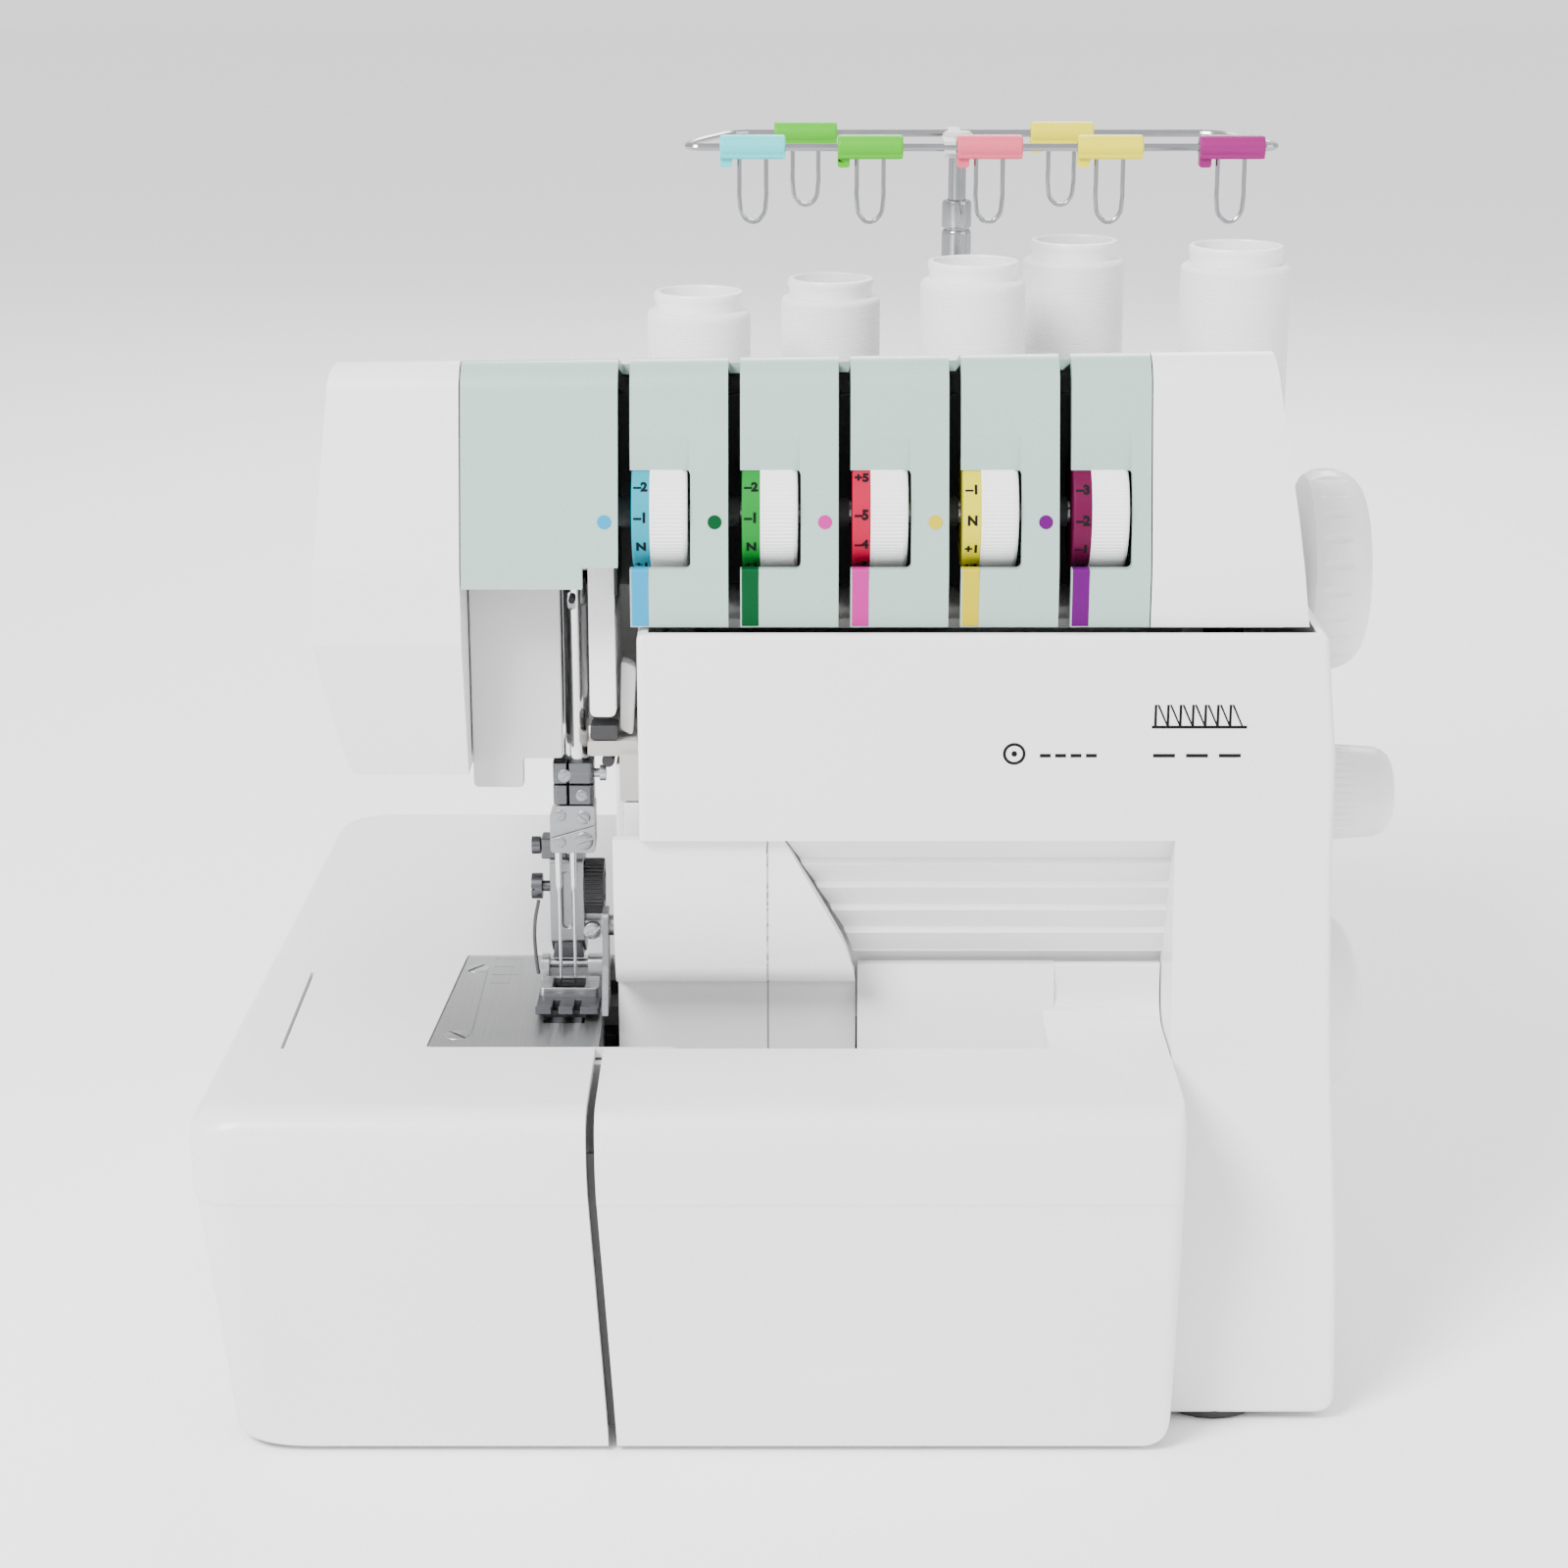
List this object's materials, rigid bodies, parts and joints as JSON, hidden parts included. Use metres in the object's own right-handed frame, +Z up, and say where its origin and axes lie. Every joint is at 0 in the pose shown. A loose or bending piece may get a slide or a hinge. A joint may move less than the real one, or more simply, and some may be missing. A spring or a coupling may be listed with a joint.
{
  "type": "overlock sewing machine",
  "caption": "Table-top overlock sewing machine with colour-coded tension dials, a slide-off bed extension, a drop-down looper cover and a telescopic thread stand.",
  "frame": {"origin": "middle of the bounding box's footprint, on the table", "axes": "+X to the machine's right as its user sees it, +Y to the back, +Z up"},
  "size_m": [0.338, 0.346, 0.332],
  "materials": {
    "white_cover": "smooth white moulded plastic with a soft sheen",
    "mint_cover": "pale grey-green moulded plastic",
    "grey_cover": "light grey matte plastic",
    "dark_plastic": "black plastic",
    "rubber": "black rubber",
    "brushed_steel": "brushed steel",
    "chrome": "bright chrome plate",
    "casting": "plain cast aluminium",
    "thread": "white wound thread on a plastic cone",
    "blue_scale": "light blue scale band, white knurled rim",
    "green_scale": "green scale band, white knurled rim",
    "pink_scale": "crimson scale band, white knurled rim",
    "yellow_scale": "yellow scale band, white knurled rim",
    "purple_scale": "dark purple scale band, white knurled rim",
    "blue_clip": "pale blue plastic clip, bright wire eye",
    "green_clip": "green plastic clip, bright wire eye",
    "pink_clip": "pink plastic clip, bright wire eye",
    "yellow_clip": "yellow plastic clip, bright wire eye",
    "purple_clip": "magenta-purple plastic clip, bright wire eye"
  },
  "bodies": {
    "machine": {"base_tray": "white_cover", "rubber_foot_front_left": "rubber", "rubber_foot_front_right": "rubber", "rubber_foot_rear_left": "rubber", "rubber_foot_rear_right": "rubber", "main_frame": "casting", "front_cover": "white_cover", "rear_cover": "white_cover", "tension_cover": "mint_cover", "top_cover": "white_cover", "face_cover": "white_cover", "arm_under_cover": "grey_cover", "bay_guard": "white_cover", "free_arm_casing": "white_cover", "needle_plate": "brushed_steel", "motor": "dark_plastic", "drive_belt": "rubber", "mains_inlet": "dark_plastic", "spool_stand": "white_cover", "mast_outer_tube": "chrome"},
    "bed_extension": {"bed_extension": "white_cover"},
    "looper_cover": {"looper_cover": "white_cover"},
    "upper_drive": {"arm_shaft": "brushed_steel", "handwheel": "white_cover"},
    "lower_drive": {"lower_shaft": "brushed_steel"},
    "motor_rotor": {"motor_pulley": "brushed_steel"},
    "needle_unit": {"needle_bar": "chrome", "needle_left": "chrome", "needle_right": "chrome"},
    "presser_bar": {"presser_bar": "brushed_steel"},
    "presser_foot": {"presser_foot": "brushed_steel"},
    "presser_lifter": {"presser_lifter": "grey_cover"},
    "upper_knife": {"upper_knife": "brushed_steel"},
    "upper_looper": {"upper_looper": "chrome"},
    "lower_looper": {"lower_looper": "chrome"},
    "main_feed": {"feed_dog_main": "brushed_steel"},
    "differential_feed": {"feed_dog_differential": "brushed_steel"},
    "stitch_length_dial": {"stitch_length_dial": "white_cover"},
    "differential_feed_dial": {"differential_feed_dial": "white_cover"},
    "power_switch": {"power_switch": "dark_plastic"},
    "mast_middle": {"mast_middle_tube": "chrome"},
    "mast_top": {"mast_inner_rod": "chrome", "thread_guide_carrier": "chrome", "thread_guide_1_blue": "blue_clip", "thread_guide_2_green": "green_clip", "thread_guide_3_pink": "pink_clip", "thread_guide_4_yellow": "yellow_clip", "thread_guide_5_purple": "purple_clip", "thread_guide_6_rear_green": "green_clip", "thread_guide_7_rear_yellow": "yellow_clip"},
    "tension_dial_1": {"tension_dial_1_blue": "blue_scale"},
    "tension_dial_2": {"tension_dial_2_green": "green_scale"},
    "tension_dial_3": {"tension_dial_3_pink": "pink_scale"},
    "tension_dial_4": {"tension_dial_4_yellow": "yellow_scale"},
    "tension_dial_5": {"tension_dial_5_purple": "purple_scale"},
    "spool_1": {"thread_spool_1": "thread"},
    "spool_2": {"thread_spool_2": "thread"},
    "spool_3": {"thread_spool_3": "thread"},
    "spool_4": {"thread_spool_4": "thread"},
    "spool_5": {"thread_spool_5": "thread"}
  },
  "joints": [
    {"name": "bed_extension_slide", "type": "slide", "parent": "machine", "child": "bed_extension", "axis": [-1, 0, 0], "range_m": [0, 0.12]},
    {"name": "looper_cover_hinge", "type": "hinge", "parent": "machine", "child": "looper_cover", "pos_m": [0.02, -0.166, 0.012], "axis": [1, 0, 0], "range_deg": [0, 80]},
    {"name": "handwheel_turn", "type": "hinge", "parent": "machine", "child": "upper_drive", "pos_m": [0.15, -0.03, 0.218], "axis": [1, 0, 0], "continuous": true},
    {"name": "lower_shaft_turn", "type": "hinge", "parent": "machine", "child": "lower_drive", "pos_m": [0, -0.03, 0.062], "axis": [1, 0, 0], "continuous": true},
    {"name": "motor_turn", "type": "hinge", "parent": "machine", "child": "motor_rotor", "pos_m": [0.1, 0.04, 0.055], "axis": [1, 0, 0], "continuous": true},
    {"name": "needle_bar_slide", "type": "slide", "parent": "machine", "child": "needle_unit", "axis": [0, 0, 1], "range_m": [-0.028, 0]},
    {"name": "upper_knife_slide", "type": "slide", "parent": "machine", "child": "upper_knife", "axis": [0, 0, 1], "range_m": [-0.0051, 0]},
    {"name": "upper_looper_swing", "type": "hinge", "parent": "machine", "child": "upper_looper", "pos_m": [-0.04, -0.11, 0.05], "axis": [0, 1, 0], "range_deg": [0, 15]},
    {"name": "lower_looper_swing", "type": "hinge", "parent": "machine", "child": "lower_looper", "pos_m": [-0.088, -0.104, 0.052], "axis": [0, 1, 0], "range_deg": [-15, 0]},
    {"name": "main_feed_slide", "type": "slide", "parent": "machine", "child": "main_feed", "axis": [0, 1, 0], "range_m": [-0.00285, 0]},
    {"name": "differential_feed_slide", "type": "slide", "parent": "machine", "child": "differential_feed", "axis": [0, 1, 0], "range_m": [-0.002, 0]},
    {"name": "presser_lifter_turn", "type": "hinge", "parent": "machine", "child": "presser_lifter", "pos_m": [-0.072, 0.073, 0.201], "axis": [0, 1, 0], "range_deg": [0, 60]},
    {"name": "presser_bar_slide", "type": "slide", "parent": "machine", "child": "presser_bar", "axis": [0, 0, 1], "range_m": [0, 0.0061]},
    {"name": "presser_foot_tilt", "type": "hinge", "parent": "presser_bar", "child": "presser_foot", "pos_m": [-0.072, -0.075, 0.11], "axis": [-1, 0, 0], "range_deg": [0, 10]},
    {"name": "tension_dial_1_turn", "type": "hinge", "parent": "machine", "child": "tension_dial_1", "pos_m": [-0.04275, -0.097, 0.2495], "axis": [1, 0, 0], "range_deg": [-130, 130]},
    {"name": "tension_dial_2_turn", "type": "hinge", "parent": "machine", "child": "tension_dial_2", "pos_m": [-0.01285, -0.097, 0.2495], "axis": [1, 0, 0], "range_deg": [-130, 130]},
    {"name": "tension_dial_3_turn", "type": "hinge", "parent": "machine", "child": "tension_dial_3", "pos_m": [0.01705, -0.097, 0.2495], "axis": [1, 0, 0], "range_deg": [-130, 130]},
    {"name": "tension_dial_4_turn", "type": "hinge", "parent": "machine", "child": "tension_dial_4", "pos_m": [0.04695, -0.097, 0.2495], "axis": [1, 0, 0], "range_deg": [-130, 130]},
    {"name": "tension_dial_5_turn", "type": "hinge", "parent": "machine", "child": "tension_dial_5", "pos_m": [0.07685, -0.097, 0.2495], "axis": [1, 0, 0], "range_deg": [-130, 130]},
    {"name": "stitch_length_turn", "type": "hinge", "parent": "machine", "child": "stitch_length_dial", "pos_m": [0.156, -0.06, 0.158], "axis": [1, 0, 0], "range_deg": [-120, 120]},
    {"name": "differential_feed_turn", "type": "hinge", "parent": "machine", "child": "differential_feed_dial", "pos_m": [0.155, -0.045, 0.087], "axis": [1, 0, 0], "range_deg": [-60, 60]},
    {"name": "power_switch_rock", "type": "hinge", "parent": "machine", "child": "power_switch", "pos_m": [0.1415, 0.034, 0.038], "axis": [0, 1, 0], "range_deg": [-12, 0]},
    {"name": "mast_middle_slide", "type": "slide", "parent": "machine", "child": "mast_middle", "axis": [0, 0, 1], "range_m": [0, 0.09]},
    {"name": "mast_top_slide", "type": "slide", "parent": "mast_middle", "child": "mast_top", "axis": [0, 0, 1], "range_m": [0, 0.09]},
    {"name": "spool_1_turn", "type": "hinge", "parent": "machine", "child": "spool_1", "pos_m": [-0.037, 0.095, 0.23], "axis": [0, 0, 1], "continuous": true},
    {"name": "spool_2_turn", "type": "hinge", "parent": "machine", "child": "spool_2", "pos_m": [0.007, 0.141, 0.23], "axis": [0, 0, 1], "continuous": true},
    {"name": "spool_3_turn", "type": "hinge", "parent": "machine", "child": "spool_3", "pos_m": [0.053, 0.095, 0.23], "axis": [0, 0, 1], "continuous": true},
    {"name": "spool_4_turn", "type": "hinge", "parent": "machine", "child": "spool_4", "pos_m": [0.09, 0.141, 0.23], "axis": [0, 0, 1], "continuous": true},
    {"name": "spool_5_turn", "type": "hinge", "parent": "machine", "child": "spool_5", "pos_m": [0.139, 0.095, 0.23], "axis": [0, 0, 1], "continuous": true}
  ],
  "couplings": [
    {"joint": "lower_shaft_turn", "follows": "handwheel_turn", "ratio": 1},
    {"joint": "motor_turn", "follows": "handwheel_turn", "ratio": 2},
    {"joint": "upper_knife_slide", "follows": "needle_bar_slide", "ratio": 0.18},
    {"joint": "upper_looper_swing", "follows": "needle_bar_slide", "rad_per_m": -9.3},
    {"joint": "lower_looper_swing", "follows": "needle_bar_slide", "rad_per_m": 9.3},
    {"joint": "main_feed_slide", "follows": "needle_bar_slide", "ratio": 0.1},
    {"joint": "differential_feed_slide", "follows": "needle_bar_slide", "ratio": 0.07},
    {"joint": "presser_lifter_turn", "follows": "presser_bar_slide", "rad_per_m": 171.5}
  ]
}
